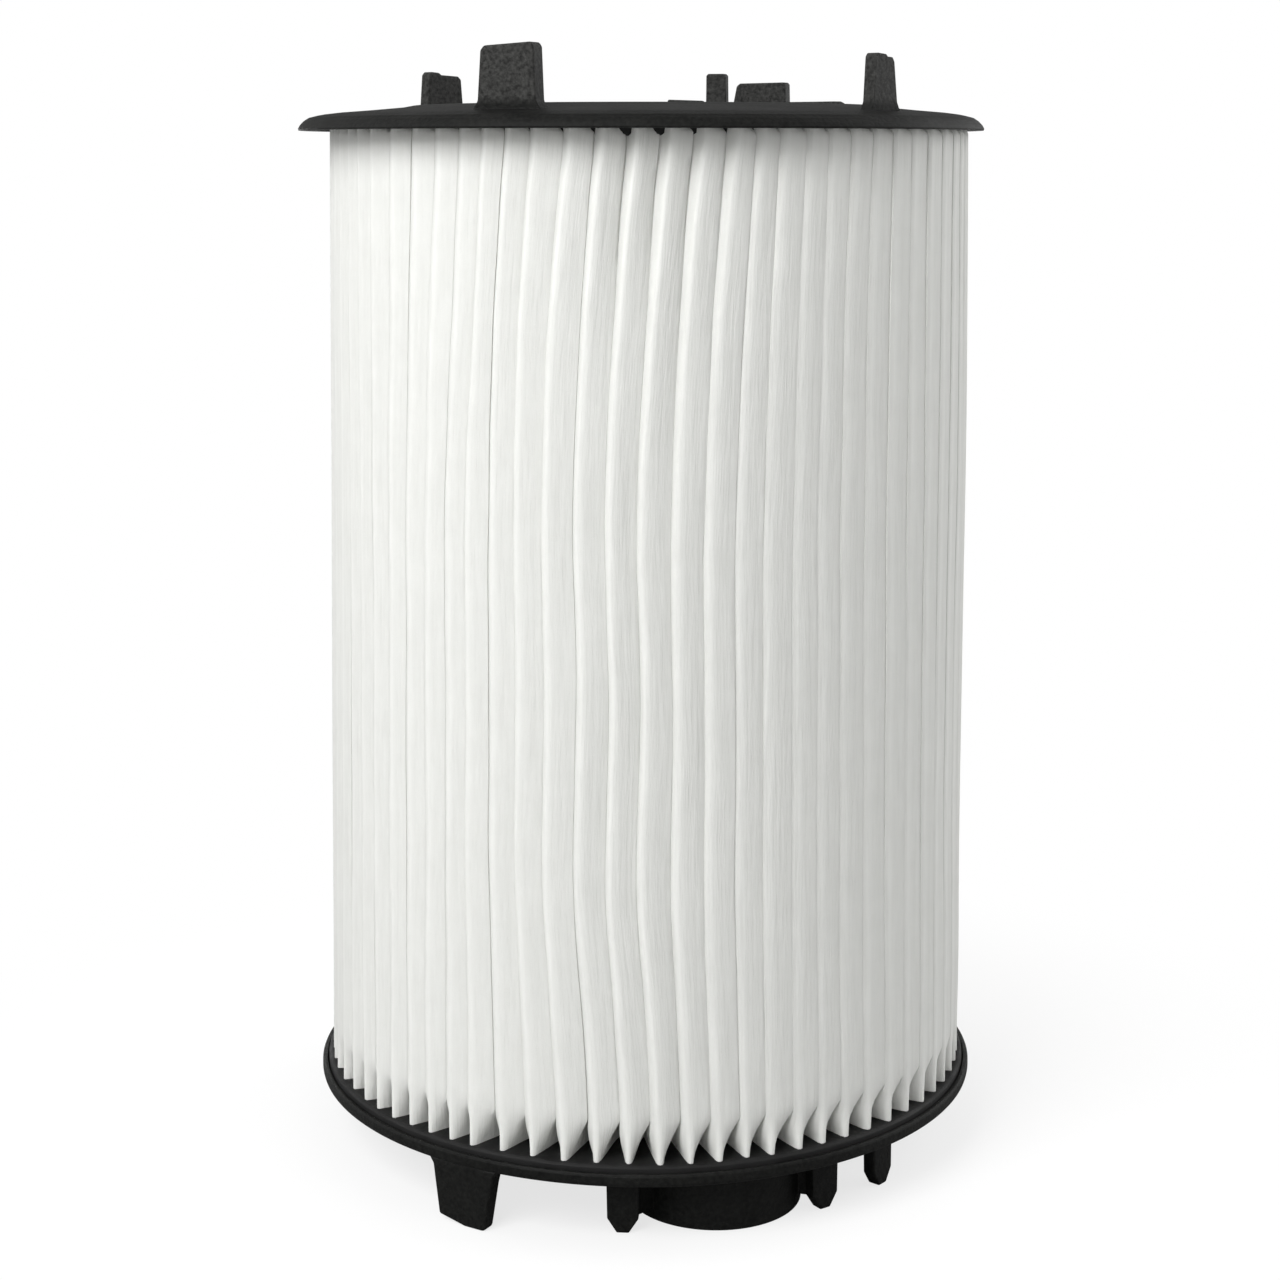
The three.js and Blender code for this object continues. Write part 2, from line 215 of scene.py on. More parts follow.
def arc_rail(name, r0, r1, az0, az1, z0, z1, steps=40, bevel=0.9):
    """A low wall that follows the edge of the cap, with its upper edges rounded."""
    section = fillet([(r0, z0), (r1, z0), (r1 - 0.3, z1), (r0 + 0.3, z1)], [0, 0, bevel, bevel], 3, True)
    n = len(section)
    verts, faces = [], []
    for k in range(steps + 1):
        u = k / steps
        az = rad(az0 + (az1 - az0) * u)
        # both ends come down in a short round
        end = min(1.0, min(u, 1 - u) * steps / 1.5)
        for r, z in section:
            zz = z if z < z0 + 1 else z - (1 - math.sqrt(max(0.0, 1 - (1 - end) ** 2))) * 1.2
            verts.append((r * math.sin(az) * MM, -r * math.cos(az) * MM, zz * MM))
    for k in range(steps):
        for i in range(n):
            j = (i + 1) % n
            faces.append((k * n + i, k * n + j, (k + 1) * n + j, (k + 1) * n + i))
    faces.append(tuple(range(n))[::-1])
    faces.append(tuple(steps * n + i for i in range(n)))
    obj = mesh_object(name, verts, faces)
    bm = bmesh.new()
    bm.from_mesh(obj.data)
    bmesh.ops.recalc_face_normals(bm, faces=bm.faces)
    bm.to_mesh(obj.data)
    bm.free()
    return obj


def move(obj, dx, dy, dz=0.0):
    co = np.empty(len(obj.data.vertices) * 3)
    obj.data.vertices.foreach_get("co", co)
    co = co.reshape(-1, 3) + np.array([dx, dy, dz]) * MM
    obj.data.vertices.foreach_set("co", co.ravel())
    obj.data.update()
    return obj


def combine(base, tools, operation="UNION"):
    for tool in tools:
        mod = base.modifiers.new("cut", "BOOLEAN")
        mod.operation = operation
        mod.solver = "EXACT"
        mod.object = tool
        dg = bpy.context.evaluated_depsgraph_get()
        me = bpy.data.meshes.new_from_object(base.evaluated_get(dg))
        base.modifiers.clear()
        old = base.data
        base.data = me
        me.name = old.name
        bpy.data.meshes.remove(old)
        bpy.data.objects.remove(tool)
    return base


# ----------------------------------------------------------------- materials
def new_material(name):
    mat = bpy.data.materials.new(name)
    mat.use_nodes = True
    nt = mat.node_tree
    nt.nodes.clear()
    out = nt.nodes.new("ShaderNodeOutputMaterial")
    bsdf = nt.nodes.new("ShaderNodeBsdfPrincipled")
    nt.links.new(bsdf.outputs[0], out.inputs["Surface"])
    return mat, nt, bsdf, out


def node(nt, kind, **values):
    n = nt.nodes.new(kind)
    for key, val in values.items():
        if key in n.inputs:
            n.inputs[key].default_value = val
        else:
            setattr(n, key, val)
    return n


def noise_tex(nt, coord, scale, detail=3.0, rough=0.55, stretch=None):
    src = coord
    if stretch is not None:
        m = node(nt, "ShaderNodeMapping")
        m.inputs["Scale"].default_value = stretch
        nt.links.new(coord, m.inputs["Vector"])
        src = m.outputs[0]
    n = node(nt, "ShaderNodeTexNoise")
    n.inputs["Scale"].default_value = scale
    n.inputs["Detail"].default_value = detail
    n.inputs["Roughness"].default_value = rough
    nt.links.new(src, n.inputs["Vector"])
    return n


def ramp(nt, fac, stops):
    r = node(nt, "ShaderNodeValToRGB")
    el = r.color_ramp.elements
    while len(el) < len(stops):
        el.new(0.5)
    for e, (pos, col) in zip(el, stops):
        e.position = pos
        e.color = (*col, 1) if len(col) == 3 else col
    nt.links.new(fac, r.inputs[0])
    return r


def mix_color(nt, fac, a, b, blend="MIX"):
    m = node(nt, "ShaderNodeMix", data_type="RGBA", blend_type=blend)
    if hasattr(fac, "is_linked"):
        nt.links.new(fac, m.inputs[0])
    else:
        m.inputs[0].default_value = fac
    for sock, val in ((m.inputs[6], a), (m.inputs[7], b)):
        if hasattr(val, "is_linked"):
            nt.links.new(val, sock)
        else:
            sock.default_value = (*val, 1)
    return m.outputs[2]


def bump(nt, height, strength, distance, normal=None):
    b = node(nt, "ShaderNodeBump")
    b.inputs["Strength"].default_value = strength
    b.inputs["Distance"].default_value = distance
    nt.links.new(height, b.inputs["Height"])
    if normal is not None:
        nt.links.new(normal, b.inputs["Normal"])
    return b.outputs[0]


def maths(nt, op, a, b=None):
    m = node(nt, "ShaderNodeMath", operation=op)
    for sock, val in ((m.inputs[0], a), (m.inputs[1], b)):
        if val is None:
            continue
        if hasattr(val, "is_linked"):
            nt.links.new(val, sock)
        else:
            sock.default_value = val
    return m.outputs[0]


def cap_material():
    mat, nt, bsdf, out = new_material("moulded_black_plastic")
    co = node(nt, "ShaderNodeTexCoord").outputs["Object"]
    broad = noise_tex(nt, co, 9, 3)
    fine = noise_tex(nt, co, 420, 4, 0.6)
    grain = noise_tex(nt, co, 1500, 3, 0.6)
    geo = node(nt, "ShaderNodeNewGeometry")
    round_n = node(nt, "ShaderNodeBevel")
    round_n.samples = 4
    round_n.inputs["Radius"].default_value = 0.0013
    turn = node(nt, "ShaderNodeVectorMath", operation="DOT_PRODUCT")
    nt.links.new(round_n.outputs[0], turn.inputs[0])
    nt.links.new(geo.outputs["True Normal"], turn.inputs[1])
    edge = ramp(nt, maths(nt, "SUBTRACT", 1.0, turn.outputs["Value"]), [(0.02, (0, 0, 0)), (0.22, (1, 1, 1))])
    base = ramp(nt, broad.outputs[0], [(0.3, (0.0040, 0.0042, 0.0038)), (0.7, (0.0064, 0.0066, 0.0060))])
    speck = ramp(nt, fine.outputs[0], [(0.35, (0.45, 0.45, 0.45)), (0.7, (1.7, 1.7, 1.7))])
    c1 = mix_color(nt, 1.0, base.outputs[0], speck.outputs[0], "MULTIPLY")
    # rounded edges painted paler: partly real wear, partly a painted highlight where light would catch the rims
    edge_wear_and_highlight = maths(nt, "MULTIPLY", edge.outputs[0], maths(nt, "MULTIPLY", fine.outputs[0], 0.55))
    # the tabs on top are paler and grainier than the rest
    place_z = node(nt, "ShaderNodeSeparateXYZ")
    nt.links.new(co, place_z.inputs[0])
    upper = node(nt, "ShaderNodeMapRange")
    upper.inputs["From Min"].default_value = (Z_TAB - 0.5) * MM
    upper.inputs["From Max"].default_value = (Z_TAB + 4.0) * MM
    upper.inputs["To Min"].default_value = 0.0
    upper.inputs["To Max"].default_value = 1.0
    nt.links.new(place_z.outputs[2], upper.inputs["Value"])
    pale = ramp(nt, fine.outputs[0], [(0.30, (0.006, 0.006, 0.0056)), (0.70, (0.046, 0.046, 0.044))])
    c1 = mix_color(nt, upper.outputs[0], c1, pale.outputs[0])
    # the pale edge colour: wear and a painted edge highlight together
    c2 = mix_color(nt, edge_wear_and_highlight, c1, (0.040, 0.041, 0.040))
    # a little pale dust lies on faces that look up
    up = node(nt, "ShaderNodeSeparateXYZ")
    nt.links.new(geo.outputs["Normal"], up.inputs[0])
    dustn = noise_tex(nt, co, 34, 4, 0.65)
    dust = maths(nt, "MULTIPLY", maths(nt, "MAXIMUM", up.outputs[2], 0.0),
                 maths(nt, "MULTIPLY", ramp(nt, dustn.outputs[0], [(0.42, (0, 0, 0)), (0.75, (1, 1, 1))]).outputs[0], 0.022))
    c3 = mix_color(nt, dust, c2, (0.28, 0.28, 0.27))
    nt.links.new(c3, bsdf.inputs["Base Color"])
    rr = ramp(nt, broad.outputs[0], [(0.25, (0.50, 0.50, 0.50)), (0.75, (0.64, 0.64, 0.64))])
    r2 = maths(nt, "ADD", rr.outputs[0], maths(nt, "MULTIPLY", maths(nt, "SUBTRACT", fine.outputs[0], 0.5), 0.22))
    nt.links.new(r2, bsdf.inputs["Roughness"])
    bsdf.inputs["Specular IOR Level"].default_value = 0.12
    n1 = bump(nt, grain.outputs[0], 0.35, 0.00025)
    n2 = bump(nt, fine.outputs[0], 0.55, 0.0009, n1)
    nt.links.new(n2, bsdf.inputs["Normal"])
    return mat


def potting_material():
    mat, nt, bsdf, out = new_material("cast_black_potting")
    co = node(nt, "ShaderNodeTexCoord").outputs["Object"]
    a = noise_tex(nt, co, 60, 4, 0.6)
    b = noise_tex(nt, co, 500, 3, 0.6)
    col = ramp(nt, a.outputs[0], [(0.3, (0.005, 0.005, 0.005)), (0.7, (0.010, 0.010, 0.010))])
    bsdf.inputs["Specular IOR Level"].default_value = 0.25
    nt.links.new(col.outputs[0], bsdf.inputs["Base Color"])
    rr = ramp(nt, a.outputs[0], [(0.3, (0.55, 0.55, 0.55)), (0.7, (0.8, 0.8, 0.8))])
    nt.links.new(rr.outputs[0], bsdf.inputs["Roughness"])
    n1 = bump(nt, a.outputs[0], 0.5, 0.0009)
    n2 = bump(nt, b.outputs[0], 0.4, 0.00035, n1)
    nt.links.new(n2, bsdf.inputs["Normal"])
    return mat


def media_material():
    mat, nt, bsdf, out = new_material("white_spunbond_polyester")
    co = node(nt, "ShaderNodeTexCoord").outputs["Object"]
    sheet = node(nt, "ShaderNodeAttribute", attribute_name="sheet")
    depth = node(nt, "ShaderNodeAttribute", attribute_name="depth")
    s = sheet.outputs["Vector"]
    cloud = noise_tex(nt, s, 55, 4, 0.6)
    streak = noise_tex(nt, s, 330, 3, 0.6, (1.0, 0.07, 1.0))
    fibre = noise_tex(nt, s, 1600, 4, 0.7)
    swirl = node(nt, "ShaderNodeTexWave", wave_type="BANDS")
    swirl.inputs["Scale"].default_value = 420
    swirl.inputs["Distortion"].default_value = 9.0
    swirl.inputs["Detail"].default_value = 3.0
    swirl.inputs["Detail Scale"].default_value = 1.6
    nt.links.new(s, swirl.inputs["Vector"])
    base = ramp(nt, cloud.outputs[0], [(0.3, (0.938, 0.943, 0.920)), (0.7, (0.964, 0.968, 0.946))])
    lines = ramp(nt, streak.outputs[0], [(0.35, (0.965, 0.965, 0.963)), (0.62, (1.0, 1.0, 1.0))])
    c1 = mix_color(nt, 1.0, base.outputs[0], lines.outputs[0], "MULTIPLY")
    fl = ramp(nt, fibre.outputs[0], [(0.38, (0.98, 0.98, 0.978)), (0.6, (1.0, 1.0, 1.0))])
    c2 = mix_color(nt, 1.0, c1, fl.outputs[0], "MULTIPLY")
    # painted shade: the sheet is a little darker towards the pleat roots, deep in the valleys between the folds
    painted_root_shade = ramp(nt, depth.outputs["Fac"], [(0.0, (0.985, 0.985, 0.98)), (0.55, (1.0, 1.0, 1.0))])
    c3 = mix_color(nt, 1.0, c2, painted_root_shade.outputs[0], "MULTIPLY")
    # painted highlight: the sheet is paler along the crests and a little darker on the slopes between them
    crest = node(nt, "ShaderNodeAttribute", attribute_name="crest")
    pale = ramp(nt, crest.outputs["Fac"], [(0.0, (0.952, 0.952, 0.950)), (0.9, (1.0, 1.0, 1.0))])
    c3 = mix_color(nt, 1.0, c3, pale.outputs[0], "MULTIPLY")
    nt.links.new(c3, bsdf.inputs["Base Color"])
    bsdf.inputs["Roughness"].default_value = 0.9
    rr = ramp(nt, fibre.outputs[0], [(0.3, (0.82, 0.82, 0.82)), (0.7, (0.95, 0.95, 0.95))])
    nt.links.new(rr.outputs[0], bsdf.inputs["Roughness"])
    bsdf.inputs["Specular IOR Level"].default_value = 0.25
    bsdf.inputs["Sheen Weight"].default_value = 0.12
    bsdf.inputs["Sheen Roughness"].default_value = 0.5
    n1 = bump(nt, cloud.outputs[0], 0.35, 0.0012)
    n2 = bump(nt, streak.outputs[0], 0.70, 0.0010, n1)
    n3 = bump(nt, swirl.outputs["Fac"], 0.12, 0.00012, n2)
    n4 = bump(nt, fibre.outputs[0], 0.30, 0.00012, n3)
    nt.links.new(n4, bsdf.inputs["Normal"])
    trans = node(nt, "ShaderNodeBsdfTranslucent")
    nt.links.new(c3, trans.inputs["Color"])
    nt.links.new(n2, trans.inputs["Normal"])
    mix = node(nt, "ShaderNodeMixShader")
    mix.inputs[0].default_value = 0.40
    nt.links.new(bsdf.outputs[0], mix.inputs[1])
    nt.links.new(trans.outputs[0], mix.inputs[2])
    nt.links.new(mix.outputs[0], out.inputs["Surface"])
    return mat


def core_material():
    mat, nt, bsdf, out = new_material("white_core_plastic")
    co = node(nt, "ShaderNodeTexCoord").outputs["Object"]
    a = noise_tex(nt, co, 22, 3)
    b = noise_tex(nt, co, 700, 3)
    col = ramp(nt, a.outputs[0], [(0.3, (0.66, 0.67, 0.65)), (0.7, (0.75, 0.755, 0.735))])
    nt.links.new(col.outputs[0], bsdf.inputs["Base Color"])
    rr = ramp(nt, a.outputs[0], [(0.3, (0.42, 0.42, 0.42)), (0.7, (0.55, 0.55, 0.55))])
    nt.links.new(rr.outputs[0], bsdf.inputs["Roughness"])
    nt.links.new(bump(nt, b.outputs[0], 0.25, 0.0002), bsdf.inputs["Normal"])
    return mat


def strip_material():
    mat, nt, bsdf, out = new_material("hot_melt_strip")
    co = node(nt, "ShaderNodeTexCoord").outputs["Object"]
    a = noise_tex(nt, co, 90, 4)
    col = ramp(nt, a.outputs[0], [(0.3, (0.66, 0.64, 0.55)), (0.7, (0.78, 0.77, 0.70))])
    nt.links.new(col.outputs[0], bsdf.inputs["Base Color"])
    bsdf.inputs["Roughness"].default_value = 0.35
    nt.links.new(bump(nt, a.outputs[0], 0.5, 0.0008), bsdf.inputs["Normal"])
    return mat


def rubber_material():
    mat, nt, bsdf, out = new_material("black_seal_rubber")
    co = node(nt, "ShaderNodeTexCoord").outputs["Object"]
    a = noise_tex(nt, co, 160, 4)
    b = noise_tex(nt, co, 1200, 2)
    col = ramp(nt, a.outputs[0], [(0.3, (0.008, 0.008, 0.008)), (0.7, (0.016, 0.016, 0.016))])
    nt.links.new(col.outputs[0], bsdf.inputs["Base Color"])
    rr = ramp(nt, a.outputs[0], [(0.3, (0.38, 0.38, 0.38)), (0.7, (0.55, 0.55, 0.55))])
    nt.links.new(rr.outputs[0], bsdf.inputs["Roughness"])
    nt.links.new(bump(nt, b.outputs[0], 0.3, 0.0002), bsdf.inputs["Normal"])
    return mat


CAP = cap_material()
POT = potting_material()
MEDIA = media_material()
CORE = core_material()
STRIP = strip_material()
RUBBER = rubber_material()


def finish_piece(obj, mat, slot, *nodes, angle=32):
    obj.data.materials.clear()
    obj.data.materials.append(mat)
    if mat is CAP:
        # the joined features leave a few edges of no length
        bm = bmesh.new()
        bm.from_mesh(obj.data)
        bmesh.ops.remove_doubles(bm, verts=bm.verts, dist=4e-6)
        bmesh.ops.dissolve_degenerate(bm, edges=bm.edges, dist=4e-6)
        bmesh.ops.triangulate(bm, faces=[f for f in bm.faces if len(f.verts) > 4])
        bmesh.ops.dissolve_degenerate(bm, edges=bm.edges, dist=4e-6)
        gaps = [e for e in bm.edges if e.is_boundary]
        if gaps:
            bmesh.ops.holes_fill(bm, edges=gaps, sides=4)
            bmesh.ops.recalc_face_normals(bm, faces=bm.faces)
        bm.to_mesh(obj.data)
        bm.free()
    smooth(obj, angle)
    if mat is CAP:
        # flat faces keep their own direction, only the rounded edges are blended
        mod = obj.modifiers.new("even", "WEIGHTED_NORMAL")
        mod.mode = "FACE_AREA"
        mod.weight = 100
        mod.keep_sharp = True
        old = obj.data
        dg = bpy.context.evaluated_depsgraph_get()
        obj.data = bpy.data.meshes.new_from_object(obj.evaluated_get(dg))
        obj.modifiers.clear()
        obj.data.name = old.name
        bpy.data.meshes.remove(old)
    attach(obj, BODY)
    if nodes:
        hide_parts(*nodes)
    return obj


# ------------------------------------------------------------- bottom end cap
def build_bottom_cap():
    z = Z_FL
    pts = [(0, z), (192, z), (R_BOT - 0.5, z + 0.25), (R_BOT, z + 2.2), (R_BOT, z + 5.6), (R_BOT - 0.7, z + 7.2),
           (R_BOT - 3.0, z + 6.9), (196.5, z + 5.6), (196.4, z + 4.3), (149.2, z + 4.3), (149.2, z + 16), (146.2, z + 16),
           (146.2, z + 4.3), (0, z + 4.3)]
    radii = [0, 0, 1.2, 1.2, 1.0, 0.8, 0.9, 0.4, 0, 0.6, 0.7, 0.7, 0.6, 0]
    cap = lathe("bottom_cap", fillet(pts, radii), 288)
    px, py = PORT_C

    tube = lathe("t", [(0, 0.0), (46.4, 0.0)] + fillet([(46.4, 0.0), (49.7, 0), (49.9, z - 2.0), (52.6, z + 0.8)], [0, 1.1, 2.5, 0]) + [(52.6, z + 1.0), (0, z + 1.0)], 160)
    combine(cap, [move(tube, px, py)])
    bore = lathe("b", [(0, -1), (44.9, -1), (43.5, 0.9), (43.5, 6.8), (46.5, 7.0), (46.5, 15.0), (43.5, 15.2), (43.5, z - 0.002), (0, z - 0.002)], 160)
    move(bore, px, py)
    combine(cap, [bore], "DIFFERENCE")
    thr = lathe("h", [(0, z - 1), (43.5, z - 1), (43.5, z + 6), (0, z + 6)], 160)
    move(thr, px, py)
    lim = lathe("l", [(0, z - 2), (145.0, z - 2), (145.0, z + 7), (0, z + 7)], 288)
    combine(thr, [lim], "INTERSECT")
    combine(cap, [thr], "DIFFERENCE")

    wide = fillet([(-15.2, 3.6), (2, 0), (15.4, 0), (20.0, 26), (21.4, 31.6), (23.4, z + 1), (-22.4, z + 1), (-19.4, 31.2), (-18.5, 25)],
                  [1.8, 3, 2.8, 4, 3, 0, 0, 3, 4], 4, True)
    tools = []
    for az in (-31, 149):
        tools.append(place(slab("f", wide, 9, 1.5), 194.4, az, 0))
    peg = fillet([(-3.4, 0), (3.4, 0), (8.7, 7.8), (9.2, 31), (10.6, z + 1), (-10.6, z + 1), (-9.2, 31), (-8.7, 7.8)],
                 [1.2, 1.2, 1.6, 2, 0, 0, 2, 1.6], 3, True)
    for az in (-4.0, 34.5, 49.8, 176.0, 214.5, 229.8):
        tools.append(place(slab("p", peg, 8, 1.2), 176, az, 0))
    for az in (-4.0, 34.5):
        gx, gy = 176 * math.sin(rad(az)), -176 * math.cos(rad(az))
        dx, dy = px - gx, py - gy
        d = math.hypot(dx, dy)
        reach = d - 49.7 + 1.4
        web = slab("w", [(-1.5, 6.0), (reach, 6.0), (reach, z + 1), (-1.5, z + 1)], 4.2, 0.8, 2)
        ang = math.atan2(dy, dx)
        co = np.empty(len(web.data.vertices) * 3)
        web.data.vertices.foreach_get("co", co)
        co = co.reshape(-1, 3)
        x = co[:, 0] * math.cos(ang) - co[:, 1] * math.sin(ang) + gx * MM
        y = co[:, 0] * math.sin(ang) + co[:, 1] * math.cos(ang) + gy * MM
        co[:, 0], co[:, 1] = x, y
        web.data.vertices.foreach_set("co", co.ravel())
        web.data.update()
        tools.append(web)
    combine(cap, tools)
    return finish_piece(cap, CAP, "cap_plastic", "bottom_end_cap", angle=34)


# ---------------------------------------------------------------- top end cap
def build_top_cap():
    z = Z_TOP
    u = Z_SEAT
    e = u - 9.4
    pts = [(0, u), (146.2, u), (146.2, u - 12.7), (149.2, u - 12.7), (149.2, u), (154.5, u), (187, u - 2.5), (196.0, u - 3.3),
           (198.0, u - 4.2), (204.4, u - 6.9), (206.4, e + 0.6), (208.0, e), (R_LIP - 0.3, e + 0.1), (R_LIP, e + 1.2),
           (208.8, z - 12.0), (206.6, z - 9.6), (203.6, z - 7.6), (199, z - 6.4), (195, z - 5.6), (187, z - 4.6), (170, z - 3.2), (150, z - 1.3),
           (143, z), (126, z), (124.6, z - 2.4), (26.2, z - 2.4), (24.6, z), (9.4, z), (8.6, z - 0.9), (0, z - 0.9)]
    radii = [0, 0.6, 0.7, 0.7, 0.6, 2, 3, 1, 1.2, 1.5, 0.8, 0.8, 0.5, 0.8, 1.2, 1.5, 2.0, 2.5, 3, 4, 5, 4, 2.6, 0.6, 0.6, 0.6, 0.6, 0.3, 0.3, 0]


    def seated(r, zz, t):
        # the lip sits a little to the minus X side of the axis
        return r - 2.6 * math.cos(t) * min(1.0, max(0.0, (r - 155) / 45)), zz

    cap = lathe("top_cap", fillet(pts, radii), 288, wave=seated)
    tools = []
    for i in range(12):
        rib = slab("r", [(-1.6, -3.2), (1.6, -3.2), (1.6, -0.02), (-1.6, -0.02)], 103, 0.55, 2)
        tools.append(place(rib, 75.1, 30 * i + 9, z))
    hoop = lathe("o", fillet([(78, z - 3.2), (81.2, z - 3.2), (81.2, z - 0.05), (78, z - 0.05)], [0, 0, 0.6, 0.6], 3, True), 160, closed=True)
    tools.append(hoop)

    def flared(pairs, r):
        return fillet(pairs, r, 4, True)

    lo = -4.4
    wide = flared([(-22.5, lo), (22.5, lo), (20.4, -2.2), (17.9, 1.6), (16.6, 31.1), (15.0, 33.7), (-14.1, 32.0), (-16.2, 29.3), (-17.9, 1.6), (-20.4, -2.2)],
                  [0, 0, 1.5, 4, 2.5, 2.2, 2.5, 2.5, 4, 1.5])
    slim = flared([(-14.2, lo), (14.2, lo), (12.9, -2.0), (10.8, 1.8), (8.2, 24.6), (6.6, 27.2), (2.2, 27.4), (0.6, 28.8), (-7.0, 29.4), (-8.8, 27.4), (-10.9, 1.8), (-12.9, -2.0)],
                  [0, 0, 1.5, 3, 2, 1.6, 0.6, 0.6, 1.4, 2, 3, 1.5])
    chan = flared([(-19.8, lo), (19.8, lo), (18.4, -2.0), (16.7, 1.8), (15.0, 24.4), (12.8, 26.5), (6.2, 26.1), (3.8, 24.6), (-11.4, 24.0), (-14.0, 21.8), (-16.1, 1.8), (-18.2, -2.0)],
                  [0, 0, 1.5, 3, 1.6, 1.6, 1.0, 1.0, 1.6, 1.8, 3, 1.5])
    post = flared([(-9.0, lo), (9.0, lo), (7.2, 0), (6.9, 25.8), (5.6, 27.2), (-5.6, 27.2), (-6.9, 25.8), (-7.2, 0)],
                  [0, 0, 2, 1, 1.2, 1.2, 1, 2])
    block = flared([(-20.4, lo), (23.4, lo), (21.4, 2), (18.0, 18.4), (15.6, 20.4), (-17.2, 20.8), (-18.4, 19.4), (-18.8, 2)],
                   [0, 0, 2, 2, 1.6, 1.6, 1.2, 2])
    pad = flared([(-13.2, lo), (13.2, lo), (12.4, 8.8), (11.6, 9.6), (-11.6, 8.8), (-12.4, 8.0)], [0, 0, 1, 1, 1, 1])
    for outline, t, r, az in ((wide, 12, 180.8, -24.1), (slim, 8, 182.5, 46.7), (chan, 8, 182.5, -131.9),
                              (post, 9, 182.5, 164.2), (block, 9, 182.5, 153.8), (pad, 9, 182.5, 171.1)):
        tools.append(place(slab("k", outline, t, 1.2), r, az, Z_TAB))
    tools.append(arc_rail("rail", 179.4, 185.6, 133.8, 168.0, Z_TAB - 4.4, Z_TAB + 7.4))
    combine(cap, tools)
    return finish_piece(cap, CAP, "cap_plastic", "top_end_cap", angle=34)


# -------------------------------------------------------------- potting rings
def potting_wave(face_z):
    ph = rng.uniform(0, 6.28, 6)

    def wave(r, z, t):
        if abs(z - face_z) > 1.2:
            return r, z
        w = 0.22 * math.sin(7 * t + ph[0]) + 0.16 * math.sin(19 * t + ph[1]) + 0.12 * math.sin(41 * t + ph[2] + r * 0.3)
        # the compound climbs a little where each pleat is set in it
        climb = 0.35 * math.cos(72 * (t - rad(-88))) * min(1.0, max(0.0, (196 - r) / 6))
        return r, z + (w + climb) * (1 if face_z < 300 else -1)

    return wave


def build_potting():
    zb = Z_BPOT
    pts = [(154.0, bpot_lo.z * 1000), (196.2, bpot_lo.z * 1000), (196.2, zb - 1.2), (194.6, zb - 0.1), (190, zb), (180, zb), (168, zb), (154.0, zb)]
    ring = lathe("bottom_potting", fillet(pts, [0, 0, 1, 1.4, 0, 0, 0, 0], 4, True), 576, True, potting_wave(zb))
    finish_piece(ring, POT, "potting", "bottom_potting_ring", angle=50)
    zt = Z_TPOT
    hi = tpot_hi.z * 1000
    pts = [(154.0, zt), (168, zt), (180, zt), (187.4, zt), (188.8, zt + 1.2), (188.8, hi - 2.7), (187, hi - 2.5), (154.5, hi), (154.0, hi)]
    ring = lathe("top_potting", fillet(pts, [0, 0, 0, 0.8, 1, 0, 0, 0, 0], 4, True), 576, True, potting_wave(zt))
    finish_piece(ring, POT, "potting", "top_potting_ring", angle=50)


# -------------------------------------------------------------- pleated media
def periodic_noise(n, corr, amp):
    """Smooth random numbers round a ring of n pleats."""
    k = np.arange(n)
    out = np.zeros(n)
    for m in range(1, max(2, int(n / corr)) + 1):
        a, p = rng.normal(), rng.uniform(0, 2 * math.pi)
        out += a * np.cos(2 * math.pi * m * k / n + p) / math.sqrt(m)
    return out / np.abs(out).max() * amp


